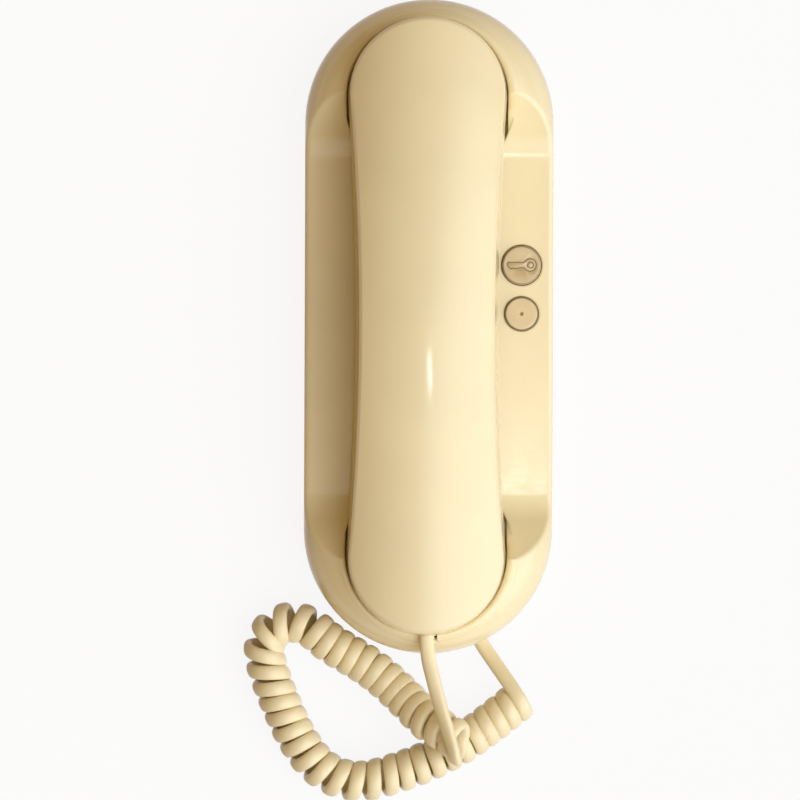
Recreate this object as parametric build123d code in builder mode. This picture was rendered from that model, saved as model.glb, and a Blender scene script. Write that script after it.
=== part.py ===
from build123d import *
import os
from math import asin, cos, degrees, dist, pi, radians, sin, sqrt, tan

# Audio intercom with a cradled handset and a curly cord, lying on its back.
# X points to the right of the unit, Y to its top and Z out of the wall. The origin is the
# centre of the back face. All lengths are in millimetres.

os.makedirs("parts", exist_ok=True)

# Case
body_length = 218.5
body_width = 83.0
rim_top = 32.0
dome_radius = 15.0
scoop_floor = 20.0
scoop_end_inset = 53.05
scoop_radius = 14.0
scoop_angle = 34
scoop_edge_radius = 1.5
cover_wall = 2.2
cut_overrun = 5.0

# Cradle: a round well for each end of the handset, joined by a straight recess
well_radius = 28.25
well_end_rim = 5.75
well_floor = 9.8
well_wall = 2.0
recess_floor = 26.0
rim_lip_radius = 1.2
lead_notch_width = 6.6
lead_notch_shift = 0.6

# Back plate
plate_floor = 2.0
plate_skirt = 4.0
plate_lip_height = 3.0
plate_lip_wall = 1.4
plate_lip_gap = 0.2
wall_screw_inset_x = 11.5
wall_screw_spacing_y = 83.5
wall_slot_width = 4.4
wall_slot_length = 8.0
cable_entry_width = 18.0
cable_entry_height = 12.0
cable_entry_corner = 2.0
cable_entry_x = -16.0
cable_entry_y = -46.0

# Handset
handset_end_inset = 6.55
handset_end_radius = 26.4
handset_waist = 23.7
handset_shift = -0.7
handset_crest = 57.5
crown_radius_across = 45.0
crown_radius_along = 400.0
crown_edge_radius = 2.0
side_draft = 4
handset_wall = 2.2
handset_split = 30.0
grip_underside = 27.0
grip_edge_radius = 1.5
handset_seat_gap = 0.3
cup_taper_top = 24.0
cup_foot_radius = 24.5
cup_edge_radius = 3.0
split_lip_height = 2.0
split_lip_gap = 0.15

# Ear and mouth openings
ear_dish_radius = 16.0
ear_dish_depth = 0.8
ear_hole_radius = 1.3
ear_hole_ring_radius = 6.5
ear_hole_count = 6
mouth_slot_length = 9.0
mouth_slot_width = 1.8
mouth_slot_spacing = 4.2
mouth_slot_count = 3

# Buttons, on the strip to the right of the handset
button_inset = 10.6
key_button_y = 20.5
key_button_radius = 6.55
aux_button_y = 4.3
aux_button_radius = 5.55
button_proud = 1.2
button_gap = 0.3
button_travel = 1.5
button_edge_radius = 0.8
button_flange = 1.1
button_flange_thickness = 1.6
button_stem_radius = 2.6
button_clearance = 0.3
dimple_radius = 0.8
dimple_depth = 0.5
dome_foot_radius = 4.4
dome_foot_thickness = 0.8
dome_wall = 0.6

# Hook plunger, under the grip
hook_inset = 6.0
hook_radius = 3.5
hook_travel = 5.0
hook_gap = 0.3
hook_flange_radius = 5.0
hook_flange_thickness = 1.5
hook_tip_radius = 1.0
hook_stem_radius = 1.4
hook_stem_length = 2.6
hook_spring_radius = 2.4
hook_spring_wire = 0.25
hook_spring_turns = 3

# Circuit board and what stands on it
board_side_gap = 5.5
board_end_gap = 9.0
board_bottom = 6.0
board_thickness = 1.6
board_corner_radius = 2.0
board_screw_inset_x = 5.0
board_screw_inset_y = 4.5
board_screw_radius = 1.25
board_screw_length = 5.0
board_screw_head_radius = 2.3
board_screw_head = 1.7
board_boss_radius = 3.0
terminal_count = 6
terminal_spacing = 5.08
terminal_depth = 8.0
terminal_height = 9.0
terminal_x = -12.0
terminal_inset = 9.0
terminal_chamfer = 1.2
terminal_screw_radius = 1.6
terminal_screw_height = 2.0
terminal_screw_sink = 1.0
terminal_mouth_width = 3.2
terminal_mouth_height = 3.4
terminal_mouth_depth = 5.0
buzzer_x = -14.0
buzzer_inset = 24.0
buzzer_radius = 11.5
buzzer_height = 8.0
buzzer_rim = 1.5
buzzer_hole_radius = 1.2
sound_slot_length = 12.0
sound_slot_width = 1.6
sound_slot_spacing = 4.0
sound_slot_count = 5
transformer_x = 14.0
transformer_inset = 11.0
transformer_width = 14.0
transformer_depth = 12.0
transformer_height = 9.0
transformer_core = 4.0
transformer_yoke = 1.8
capacitor_x = 11.0
capacitor_inset = 28.0
capacitor_spacing = 10.5
capacitor_radius = 4.0
capacitor_height = 9.4
capacitor_edge_radius = 0.6
switch_x = 12.6
switch_width = 12.8
switch_depth = 6.0
switch_height = 5.0
switch_lever = 3.0
switch_lever_thickness = 0.4

# Cover screw, behind the handset
cover_screw_gap = 4.6
cover_screw_radius = 1.5
cover_screw_length = 13.0
cover_screw_head_radius = 3.2
cover_screw_head = 2.0
cover_screw_sink = 1.0
cover_boss_radius = 4.8
plate_boss_radius = 3.4
plate_boss_top = 9.0
boss_floor = 1.5

# Inside the handset
gasket_radius = 17.5
gasket_bore = 13.5
gasket_thickness = 1.2
receiver_radius = 18.0
receiver_body = 7.0
receiver_magnet_radius = 11.0
receiver_magnet = 4.0
nest_gap = 0.3
nest_wall = 1.4
nest_height = 5.0
microphone_radius = 4.85
microphone_height = 5.2
mic_holder_wall = 2.5
mic_holder_height = 7.6
mic_holder_floor = 1.0
mic_hole_radius = 1.0
handset_screw_y = 40.0
handset_screw_radius = 1.4
handset_screw_length = 10.0
handset_screw_head_radius = 2.7
handset_screw_head = 1.4
handset_screw_sink = 0.2
handset_boss_radius = 3.4
handset_boss_wall = 1.2

# Screw recesses and clearances that the screws and bosses share
recess_share = 0.6
recess_width_share = 0.22
screw_gap = 0.1
joint_gap = 0.1

# Cord
cord_diameter = 4.8
curl_outside_diameter = 13.8
curl_least_gap = 0.5
curl_start_phase = -20
curl_end_phase = -6
cord_section_sides = 6
arc_samples = 12
bend_share = 0.45
gland_bush_radius = 3.1
gland_flange_radius = 4.4
gland_flange_thickness = 1.4
gland_gap = 0.1
gland_setback = 0.6
handset_exit_x = -0.3
base_exit_height = 5.2
base_exit_x = 17.7
base_lead_run = 4.0
base_lead_rise = 6.0
handset_lead_rise = 5.0
clamp_x = 14.0
clamp_gap = 3.5
clamp_width = 5.0
clamp_wall = 1.6
clamp_foot = 4.4
clamp_screw_radius = 0.9
clamp_screw_length = 3.2
clamp_screw_head_radius = 1.7
clamp_screw_head = 1.0
tail_end_gap = 2.0
handset_tail_length = 11.0
wire_radius = 0.5
wire_spacing = 1.3
wire_count = 3
wire_bend_radius = 0.6
wire_rise = 1.4
wire_swing = 9.0
wire_start = 1.5

# Route of the curls' centreline, from the case to the handset, with Y from the case's lower end
curl_route_from_end = [
    Vector(29.3, -17.15, 6.95),
    Vector(17.5, -27.05, 6.95),
    Vector(4.5, -34.95, 6.95),
    Vector(-10.5, -40.95, 6.95),
    Vector(-24, -44.45, 6.95),
    Vector(-35.8, -40.05, 6.95),
    Vector(-43.9, -29.35, 6.95),
    Vector(-49.4, -17.25, 6.95),
    Vector(-53.7, -6.25, 6.95),
    Vector(-55.4, 1.5, 6.95),
    Vector(-52, 7.75, 6.95),
    Vector(-45.5, 11.25, 6.95),
    Vector(-38.5, 10.25, 6.95),
    Vector(-32.5, 4.25, 6.95),
    Vector(-19, -5.75, 6.95),
    Vector(-10, -14.25, 9),
    Vector(-4.5, -21.25, 14.2),
    Vector(-0.5, -26.75, 19),
    Vector(6.5, -27.95, 21.3),
]

# Route of the straight stretch between the curls and the handset, with Y from the same end
handset_lead_from_end = [
    Vector(7.3, -11.95, 28),
    Vector(2.8, -5.65, 29.1),
    Vector(-0.3, 0.75, 30),
]

# Places worked out from the sizes above
standing = (Align.CENTER, Align.CENTER, Align.MIN)
hanging = (Align.CENTER, Align.CENTER, Align.MAX)
lower_end = Vector(0, -body_length / 2, 0)
cord_radius = cord_diameter / 2
curl_radius = (curl_outside_diameter - cord_diameter) / 2
curl_route = [lower_end + point for point in curl_route_from_end]
handset_lead_route = [lower_end + point for point in handset_lead_from_end]
end_centre = (body_length - body_width) / 2
scoop_half_flat = body_length / 2 - scoop_end_inset
well_centre = body_length / 2 - well_end_rim - well_radius
well_spacing = 2 * well_centre
wall_screw_spacing_x = body_width - 2 * wall_screw_inset_x
button_x = body_width / 2 - button_inset
handset_length = body_length - 2 * handset_end_inset
well_reach = well_centre - well_radius - well_wall
board_width = body_width - 2 * board_side_gap
board_length = 2 * (well_reach - board_end_gap)
board_screw_x = board_width / 2 - board_screw_inset_x
board_screw_y = board_length / 2 - board_screw_inset_y
hook_y = board_length / 2 - hook_inset
buzzer_y = board_length / 2 - buzzer_inset
terminal_y = terminal_inset - board_length / 2
transformer_y = transformer_inset - board_length / 2
capacitor_y = capacitor_inset - board_length / 2
cover_screw_y = cover_screw_gap - well_reach
clamp_y = clamp_gap - well_reach
tail_end_y = -board_length / 2 - tail_end_gap
well_places = [(0, well_centre, well_floor), (0, -well_centre, well_floor)]
lip_inset = cover_wall + plate_lip_gap
lip_top = plate_skirt + plate_lip_height
cover_underside = scoop_floor - cover_wall
cover_screw_seat = scoop_floor - cover_screw_sink - cover_screw_head
handset_centre = handset_length / 2 - handset_end_radius
handset_end = -handset_length / 2
cup_places = [(handset_shift, handset_centre), (handset_shift, -handset_centre)]
cup_bottom = well_floor + handset_seat_gap
cup_floor = cup_bottom + handset_wall
grip_floor = grip_underside + handset_wall
lip_split = handset_wall / 2
split_lip_top = handset_split + split_lip_height - split_lip_gap
handset_screw_places = [(handset_shift, handset_screw_y), (handset_shift, -handset_screw_y)]
handset_screw_seat = grip_underside + handset_screw_sink + handset_screw_head
receiver_bottom = cup_floor + gasket_thickness
receiver_back = receiver_bottom + receiver_body + receiver_magnet
mic_holder_radius = microphone_radius + mic_holder_wall
microphone_back = cup_floor + mic_holder_floor + microphone_height
board_top = board_bottom + board_thickness
button_top = scoop_floor + button_proud
button_flange_top = cover_underside - button_clearance
button_flange_bottom = button_flange_top - button_flange_thickness
button_stem_bottom = button_flange_bottom - 2 * button_travel
dome_top = button_stem_bottom - button_clearance
hook_top = grip_underside - handset_seat_gap
hook_flange_top = cover_underside - hook_travel - button_clearance
hook_flange_bottom = hook_flange_top - hook_flange_thickness
lead_notch_floor = handset_split - cord_radius - handset_seat_gap
exit_share = base_exit_x / (body_width / 2)
exit_direction = Vector(exit_share, -sqrt(1 - exit_share**2), 0)
exit_point = Vector(0, -end_centre, base_exit_height) + exit_direction * (body_width / 2)
inward_plane = Plane(origin=exit_point, z_dir=-exit_direction)
handset_exit = Vector(handset_exit_x, handset_end, handset_split)
handset_inward_plane = Plane(origin=handset_exit, z_dir=(0, 1, 0))


def finish(piece, label):
    """Name a finished piece and write it out."""
    piece.part.label = label
    export_step(piece.part, f"parts/{label}.step")


def case_form(inset, bottom):
    """The block of the case with its rounded shoulders and its scoop, drawn in by inset."""
    angle = radians(scoop_angle)
    reach = scoop_radius + inset
    bend_y = scoop_half_flat + reach * sin(angle)
    bend_z = scoop_floor + scoop_radius - reach * cos(angle)
    mid_y = scoop_half_flat + reach * sin(angle / 2)
    mid_z = scoop_floor + scoop_radius - reach * cos(angle / 2)
    top_z = rim_top + cut_overrun
    top_y = bend_y + (top_z - bend_z) / tan(angle)
    floor_z = scoop_floor - inset
    with BuildPart() as form:
        with BuildSketch(Plane.XY.offset(bottom)):
            SlotOverall(body_length - 2 * inset, body_width - 2 * inset, rotation=90)
        extrude(amount=rim_top - inset - bottom)
        fillet(form.edges().group_by(Axis.Z)[-1], dome_radius - inset)
        with BuildSketch(Plane.YZ):
            with BuildLine():
                Line((-scoop_half_flat, floor_z), (scoop_half_flat, floor_z))
                ThreePointArc((scoop_half_flat, floor_z), (mid_y, mid_z), (bend_y, bend_z))
                Polyline((bend_y, bend_z), (top_y, top_z), (-top_y, top_z), (-bend_y, bend_z))
                ThreePointArc((-bend_y, bend_z), (-mid_y, mid_z), (-scoop_half_flat, floor_z))
            make_face()
        extrude(amount=body_width, both=True, mode=Mode.SUBTRACT)
    return form.part


def handset_outline(inset, height):
    """Waisted outline of the handset, drawn in by inset: two round ends and two hollow sides."""
    radius = handset_end_radius - inset
    waist = handset_waist - inset
    side = (waist**2 + handset_centre**2 - radius**2) / (2 * (radius - waist))
    touch_x = radius * (waist + side) / (side + radius)
    touch_y = handset_centre - radius * handset_centre / (side + radius)
    top_y = handset_centre + radius
    with BuildSketch(Plane((handset_shift, 0, height))) as outline:
        with BuildLine():
            ThreePointArc((touch_x, -touch_y), (waist, 0), (touch_x, touch_y))
            ThreePointArc((touch_x, touch_y), (0, top_y), (-touch_x, touch_y))
            ThreePointArc((-touch_x, touch_y), (-waist, 0), (-touch_x, -touch_y))
            ThreePointArc((-touch_x, -touch_y), (0, -top_y), (touch_x, -touch_y))
        make_face()
    return outline.sketch


def crown_form(inset):
    """The handset above its split, under a crown that curves both ways, drawn in by inset."""
    across = crown_radius_across - inset
    half = handset_end_radius + cut_overrun
    crest = crown_radius_along - inset
    edge = crest - across + sqrt(across**2 - half**2)
    foot = crown_radius_along - handset_crest
    swing = asin(handset_length / 2 / (crown_radius_along - crown_radius_across))
    axle_point = (handset_shift, 0, -foot)
    start = Plane(axle_point, x_dir=(1, 0, 0), z_dir=(0, -cos(swing), -sin(swing)))
    with BuildPart() as form:
        with BuildSketch(start):
            with BuildLine():
                ThreePointArc((-half, edge), (0, crest), (half, edge))
                Polyline((half, edge), (half, foot), (-half, foot), (-half, edge))
            make_face()
        revolve(axis=Axis(axle_point, (-1, 0, 0)), revolution_arc=2 * degrees(swing))
        extrude(
            handset_outline(inset, handset_split),
            amount=handset_crest,
            taper=side_draft,
            mode=Mode.INTERSECT,
        )
    return form.part


def cup_form(inset):
    """Tapered cup at one end of the handset, about the Z axis, drawn in by inset."""
    rim = handset_end_radius - inset
    foot = cup_foot_radius - inset
    bottom = cup_bottom + inset
    with BuildPart() as form:
        with BuildSketch(Plane.XZ):
            with BuildLine():
                Polyline((0, bottom), (foot, bottom), (rim, cup_taper_top), (rim, handset_split))
                Polyline((rim, handset_split), (0, handset_split), (0, bottom))
            make_face()
        revolve(axis=Axis.Z)
        fillet(form.edges().group_by(Axis.Z)[0], cup_edge_radius - inset)
    return form.part


def screw_form(radius, length, head_radius, head):
    """Cross-head screw that points down, with the underside of its head at the origin."""
    with BuildPart() as form:
        Cylinder(head_radius, head, align=standing)
        fillet(form.edges().group_by(Axis.Z)[-1], head / 2)
        with BuildSketch(Plane.XY.offset(head)):
            Rectangle(2 * recess_share * head_radius, 2 * recess_width_share * head_radius)
            Rectangle(2 * recess_width_share * head_radius, 2 * recess_share * head_radius)
        extrude(amount=-head / 2, mode=Mode.SUBTRACT)
        Cylinder(radius, length, align=hanging)
    return form.part


def bend_radii(route):
    """The largest even bend at each inner point of a route."""
    radii = []
    for before, here, after in zip(route, route[1:], route[2:]):
        turn = radians((here - before).get_angle(after - here))
        shorter = min((here - before).length, (after - here).length)
        radii.append(bend_share * shorter / tan(turn / 2))
    return radii


def cord_tube(name, route):
    """A plain stretch of cord along its route, with its bends and volume printed."""
    radii = bend_radii(route)
    with BuildPart() as tube:
        with BuildLine():
            centreline = FilletPolyline(*route, radius=radii)
        with BuildSketch(Plane(route[0], z_dir=route[1] - route[0])):
            Circle(cord_radius)
        sweep(path=centreline)
    length = centreline.length
    print(name, "bend radii", [round(radius, 1) for radius in radii], "length", round(length, 1))
    print(name, "volume", round(tube.part.volume, 1), "of", round(pi * cord_radius**2 * length, 1))
    return tube


def wire_form(route):
    """A thin wire along its route."""
    with BuildPart() as form:
        with BuildLine():
            line = FilletPolyline(*route, radius=wire_bend_radius)
        with BuildSketch(Plane(line @ 0, z_dir=line % 0)):
            RegularPolygon(wire_radius, cord_section_sides)
        sweep(path=line)
    return form.part


def button_form(radius):
    """Push button about the Z axis: a cap, the flange that keeps it in and a stem."""
    with BuildPart() as form:
        with Locations((0, 0, button_flange_bottom)):
            Cylinder(radius, button_top - button_flange_bottom, align=standing)
        fillet(form.edges().group_by(Axis.Z)[-1], button_edge_radius)
        with Locations((0, 0, button_flange_bottom)):
            Cylinder(radius + button_flange, button_flange_thickness, align=standing)
            Cylinder(button_stem_radius, button_flange_bottom - button_stem_bottom, align=hanging)
    return form.part


def dome_form():
    """Hollow silicone dome about the Z axis, with a foot, sloping walls and a solid top."""
    foot_top = board_top + dome_foot_thickness
    crown = dome_top - dome_foot_thickness
    with BuildPart() as form:
        with BuildSketch(Plane.XZ):
            with BuildLine():
                Polyline(
                    (0, dome_top),
                    (button_stem_radius, dome_top),
                    (dome_foot_radius - dome_wall, foot_top),
                    (dome_foot_radius, foot_top),
                    (dome_foot_radius, board_top),
                    (dome_foot_radius - 2 * dome_wall, board_top),
                    (button_stem_radius - dome_wall, crown),
                    (0, crown),
                    (0, dome_top),
                )
            make_face()
        revolve(axis=Axis.Z)
    return form.part


def axis_frame(axis, place):
    """Point, direction and level normal of the curls' centreline at a distance along it."""
    inside = min(max(place, 0), axis.length)
    heading = axis.tangent_at(inside, position_mode=PositionMode.LENGTH)
    point = axis.position_at(inside, position_mode=PositionMode.LENGTH) + heading * (place - inside)
    sideways = Vector(0, 0, 1).cross(heading).normalized()
    return point, heading, sideways


def curl_point(axis, place, phase):
    """Point on the helix, where a phase of zero is on top of the curl."""
    point, heading, sideways = axis_frame(axis, place)
    upward = heading.cross(sideways)
    return point + (sideways * sin(phase) + upward * cos(phase)) * curl_radius


def sharpest_turn(axis, place):
    """The most that the centreline turns over one cord diameter, just past a place."""
    turns = []
    for step in range(2):
        start = min(place + step * cord_radius, axis.length - cord_diameter)
        arriving = axis_frame(axis, start)[1]
        leaving = axis_frame(axis, start + cord_diameter)[1]
        turns.append(radians(arriving.get_angle(leaving)))
    return max(turns)


def curl_places(axis):
    """Places along the centreline at every half turn, further apart where it bends."""
    slant = sqrt(1 - (cord_diameter / (2 * pi * curl_radius)) ** 2)
    tight_pitch = (cord_diameter + curl_least_gap) / slant
    places = [0]
    while places[-1] < axis.length:
        crowding = 1 - curl_radius * sharpest_turn(axis, places[-1]) / cord_diameter
        places.append(places[-1] + tight_pitch / crowding / 2)
    whole_turns = (len(places) - 2) // 2
    places = places[: 2 * whole_turns + 1]
    stretch = axis.length / places[-1]
    return [place * stretch for place in places]


def tangent_arc(start, corner, end):
    """Start, crest and end of the arc whose end tangents meet at the corner."""
    middle = (start + end) / 2
    half_turn = radians((corner - start).get_angle(end - corner)) / 2
    rise = (end - start).length / 2 * tan(half_turn / 2)
    return start, middle + (corner - middle).normalized() * rise, end


def biarc(start, start_direction, end, end_direction):
    """Two arcs that leave the start and reach the end in the given directions."""
    span = end - start
    both = start_direction + end_direction
    bend = 2 * (1 - start_direction.dot(end_direction))
    reach = (sqrt(span.dot(both) ** 2 + bend * span.dot(span)) - span.dot(both)) / bend
    first_corner = start + start_direction * reach
    last_corner = end - end_direction * reach
    joint = (first_corner + last_corner) / 2
    return [tangent_arc(start, first_corner, joint), tangent_arc(joint, last_corner, end)]


def curl_directions(axis, places, phases):
    """Direction of the helix at each half turn."""
    directions = []
    step = cord_radius / len(places)
    for count in range(len(places)):
        before = max(count - 1, 0)
        after = min(count + 1, len(places) - 1)
        rate = (phases[after] - phases[before]) / (places[after] - places[before])
        ahead = curl_point(axis, places[count] + step, phases[count] + rate * step)
        behind = curl_point(axis, places[count] - step, phases[count] - rate * step)
        directions.append((ahead - behind).normalized())
    return directions


def least_gap(arcs):
    """Least gap between one curl and another, on points along their arcs."""
    spots = []
    for start, crest, end in arcs:
        arc = Edge.make_three_point_arc(start, crest, end)
        spots.extend(tuple(arc.position_at(count / arc_samples)) for count in range(arc_samples))
    half_turn = 2 * arc_samples
    pairs = ((here, there) for here in range(len(spots)) for there in range(here + half_turn, len(spots)))
    return min(dist(spots[here], spots[there]) for here, there in pairs) - cord_diameter


# Front cover: the case form, the cradle sunk into it and an even wall all round
with BuildPart() as cover_cavity:
    add(case_form(cover_wall, 0))
    with Locations(*well_places):
        with Locations((0, 0, -well_wall)):
            Cylinder(well_radius + well_wall, rim_top, align=standing, mode=Mode.SUBTRACT)
    with BuildSketch(Plane.XY.offset(recess_floor - well_wall)):
        SlotCenterToCenter(well_spacing, 2 * (well_radius + well_wall), rotation=90)
    extrude(amount=rim_top, mode=Mode.SUBTRACT)

with BuildPart() as front_cover:
    add(case_form(0, plate_skirt))
    scoop_edges = front_cover.edges().filter_by(Axis.Y).filter_by_position(Axis.Z, scoop_floor, scoop_floor)
    fillet(scoop_edges, scoop_edge_radius)
    with Locations(*well_places):
        Cylinder(well_radius, rim_top, align=standing, mode=Mode.SUBTRACT)
    with BuildSketch(Plane.XY.offset(recess_floor)):
        SlotCenterToCenter(well_spacing, 2 * well_radius, rotation=90)
    extrude(amount=rim_top, mode=Mode.SUBTRACT)
    rims = front_cover.edges().filter_by(GeomType.BSPLINE).sort_by(SortBy.LENGTH)[-len(well_places):]
    fillet(rims, rim_lip_radius)
    add(cover_cavity.part, mode=Mode.SUBTRACT)
    # screw boss behind the handset
    with Locations((0, cover_screw_y, plate_boss_top + joint_gap)):
        Cylinder(cover_boss_radius, cover_underside - plate_boss_top, align=standing)
    with Locations((0, cover_screw_y, scoop_floor)):
        CounterBoreHole(
            cover_screw_radius + screw_gap,
            cover_screw_head_radius + screw_gap,
            scoop_floor - cover_screw_seat,
        )
    # holes for the buttons, the hook plunger and the sounder
    with BuildSketch(Plane.XY.offset(scoop_floor)):
        with Locations((button_x, key_button_y)):
            Circle(key_button_radius + button_gap)
        with Locations((button_x, aux_button_y)):
            Circle(aux_button_radius + button_gap)
        with Locations((0, hook_y)):
            Circle(hook_radius + hook_gap)
        with Locations((buzzer_x, buzzer_y)):
            with GridLocations(sound_slot_spacing, sound_slot_spacing, sound_slot_count, 1):
                SlotOverall(sound_slot_length, sound_slot_width, rotation=90)
    extrude(amount=-2 * cover_wall, mode=Mode.SUBTRACT)
    # ways out for the cord, at the rim and at the back
    with BuildSketch(Plane((0, -well_centre, lead_notch_floor))):
        with Locations((handset_exit_x + lead_notch_shift, 0)):
            Rectangle(lead_notch_width, body_width, align=(Align.CENTER, Align.MAX))
    extrude(amount=rim_top, mode=Mode.SUBTRACT)
    with BuildSketch(inward_plane.offset(-cut_overrun)):
        Circle(gland_bush_radius + gland_gap)
    extrude(amount=2 * cut_overrun, mode=Mode.SUBTRACT)
finish(front_cover, "front_cover")

# Back plate: a floor and skirt under the cover, with a lip that locates the cover
with BuildPart() as base_plate:
    with BuildSketch():
        SlotOverall(body_length, body_width, rotation=90)
    extrude(amount=plate_skirt)
    with BuildSketch(Plane.XY.offset(plate_skirt)):
        SlotOverall(body_length - 2 * lip_inset, body_width - 2 * lip_inset, rotation=90)
    extrude(amount=plate_lip_height)
    with BuildSketch(Plane.XY.offset(plate_floor)):
        hollow_inset = lip_inset + plate_lip_wall
        SlotOverall(body_length - 2 * hollow_inset, body_width - 2 * hollow_inset, rotation=90)
    extrude(amount=lip_top, mode=Mode.SUBTRACT)
    # bosses for the board and the cover screw
    with BuildSketch(Plane.XY.offset(plate_floor)):
        with GridLocations(2 * board_screw_x, 2 * board_screw_y, 2, 2):
            Circle(board_boss_radius)
    extrude(amount=board_bottom - plate_floor)
    with Locations((0, cover_screw_y, plate_floor)):
        Cylinder(plate_boss_radius, plate_boss_top - plate_floor, align=standing)
    with BuildSketch(Plane.XY.offset(board_bottom)):
        with GridLocations(2 * board_screw_x, 2 * board_screw_y, 2, 2):
            Circle(board_screw_radius)
    extrude(amount=boss_floor - board_bottom, mode=Mode.SUBTRACT)
    with Locations((0, cover_screw_y, boss_floor)):
        Cylinder(cover_screw_radius, plate_boss_top, align=standing, mode=Mode.SUBTRACT)
    # wall screw slots, cable entry and the way out for the cord
    with BuildSketch():
        with GridLocations(wall_screw_spacing_x, wall_screw_spacing_y, 2, 2):
            SlotOverall(wall_slot_length, wall_slot_width)
        with Locations((cable_entry_x, cable_entry_y)):
            RectangleRounded(cable_entry_width, cable_entry_height, cable_entry_corner)
    extrude(amount=plate_floor, mode=Mode.SUBTRACT)
    with BuildSketch(inward_plane.offset(-cut_overrun)):
        Circle(gland_bush_radius + gland_gap)
    extrude(amount=2 * cut_overrun, mode=Mode.SUBTRACT)
    with BuildSketch(Plane((exit_point.X, exit_point.Y, plate_floor), x_dir=exit_direction, z_dir=(0, 0, 1))):
        with Locations((-cover_wall, 0)):
            Rectangle(body_width / 4, 2 * (gland_flange_radius + gland_gap), align=(Align.MAX, Align.CENTER))
    extrude(amount=lip_top, mode=Mode.SUBTRACT)
    # pilot holes under the feet of the cord clamp
    clamp_screw_x = cord_radius + clamp_wall + clamp_foot / 2
    with BuildSketch(Plane((clamp_x, clamp_y, plate_floor))):
        with GridLocations(2 * clamp_screw_x, clamp_width, 2, 1):
            Circle(clamp_screw_radius)
    extrude(amount=clamp_wall - clamp_screw_length, mode=Mode.SUBTRACT)
finish(base_plate, "base_plate")

with BuildPart() as cover_screw:
    with Locations((0, cover_screw_y, cover_screw_seat)):
        add(screw_form(cover_screw_radius, cover_screw_length, cover_screw_head_radius, cover_screw_head))
finish(cover_screw, "cover_screw")

# Circuit board and its screws
with BuildPart() as circuit_board:
    with BuildSketch(Plane.XY.offset(board_bottom)):
        RectangleRounded(board_width, board_length, board_corner_radius)
        with GridLocations(2 * board_screw_x, 2 * board_screw_y, 2, 2):
            Circle(board_screw_radius + screw_gap, mode=Mode.SUBTRACT)
    extrude(amount=board_thickness)
finish(circuit_board, "circuit_board")

with BuildPart() as board_screws:
    with Locations((0, 0, board_top)):
        with GridLocations(2 * board_screw_x, 2 * board_screw_y, 2, 2):
            add(screw_form(board_screw_radius, board_screw_length, board_screw_head_radius, board_screw_head))
finish(board_screws, "board_screws")

# Terminal block for the riser wires: a mouth and a screw well for each way
terminal_top = board_top + terminal_height
terminal_face = terminal_y - terminal_depth / 2
mouth_centre = board_top + terminal_mouth_height / 2 + terminal_screw_sink
with BuildPart() as terminal_block:
    with Locations((terminal_x, terminal_y, board_top)):
        Box(terminal_count * terminal_spacing, terminal_depth, terminal_height, align=standing)
    chamfer(terminal_block.edges().filter_by(Axis.X).group_by(Axis.Z)[-1], terminal_chamfer)
    with BuildSketch(Plane((terminal_x, terminal_face, mouth_centre), x_dir=(1, 0, 0), z_dir=(0, 1, 0))):
        with GridLocations(terminal_spacing, terminal_spacing, terminal_count, 1):
            Rectangle(terminal_mouth_width, terminal_mouth_height)
    extrude(amount=terminal_mouth_depth, mode=Mode.SUBTRACT)
    with BuildSketch(Plane((terminal_x, terminal_y, terminal_top))):
        with GridLocations(terminal_spacing, terminal_spacing, terminal_count, 1):
            Circle(terminal_screw_radius)
    extrude(amount=-terminal_screw_sink - terminal_screw_height, mode=Mode.SUBTRACT)
finish(terminal_block, "terminal_block")

with BuildPart() as terminal_screws:
    with BuildSketch(Plane((terminal_x, terminal_y, terminal_top - terminal_screw_sink))):
        with GridLocations(terminal_spacing, terminal_spacing, terminal_count, 1):
            Circle(terminal_screw_radius)
    extrude(amount=-terminal_screw_height)
    with BuildSketch(Plane((terminal_x, terminal_y, terminal_top - terminal_screw_sink))):
        with GridLocations(terminal_spacing, terminal_spacing, terminal_count, 1):
            Rectangle(2 * terminal_screw_radius, 2 * recess_width_share * terminal_screw_radius)
    extrude(amount=-terminal_screw_height / 2, mode=Mode.SUBTRACT)
finish(terminal_screws, "terminal_screws")

# Call sounder, speech transformer and capacitors
with BuildPart() as buzzer:
    with Locations((buzzer_x, buzzer_y, board_top)):
        Cylinder(buzzer_radius, buzzer_height - buzzer_rim, align=standing)
        Cylinder(buzzer_radius - buzzer_rim, buzzer_height, align=standing)
        Cylinder(buzzer_hole_radius, 2 * buzzer_height, mode=Mode.SUBTRACT)
finish(buzzer, "buzzer")

with BuildPart() as transformer:
    with Locations((transformer_x, transformer_y, board_top + transformer_yoke)):
        Box(
            transformer_width - 2 * transformer_yoke,
            transformer_depth,
            transformer_height - 2 * transformer_yoke,
            align=standing,
        )
    fillet(transformer.edges().filter_by(Axis.X), transformer_yoke)
    with Locations((transformer_x, transformer_y, board_top)):
        Box(transformer_width, transformer_core, transformer_height, align=standing)
finish(transformer, "transformer")

with BuildPart() as capacitors:
    with Locations((capacitor_x, capacitor_y, board_top)):
        with GridLocations(capacitor_spacing, capacitor_spacing, 2, 1):
            Cylinder(capacitor_radius, capacitor_height, align=standing)
    fillet(capacitors.edges().group_by(Axis.Z)[-1], capacitor_edge_radius)
finish(capacitors, "capacitors")

# Buttons, each on a silicone dome
with BuildPart() as key_button:
    with Locations((button_x, key_button_y)):
        add(button_form(key_button_radius))
finish(key_button, "key_button")

with BuildPart() as aux_button:
    with Locations((button_x, aux_button_y)):
        add(button_form(aux_button_radius))
    with Locations((button_x, aux_button_y, button_top)):
        Cone(0, dimple_radius, dimple_depth, align=hanging, mode=Mode.SUBTRACT)
finish(aux_button, "aux_button")

with BuildPart() as key_dome:
    with Locations((button_x, key_button_y)):
        add(dome_form())
finish(key_dome, "key_dome")

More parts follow.
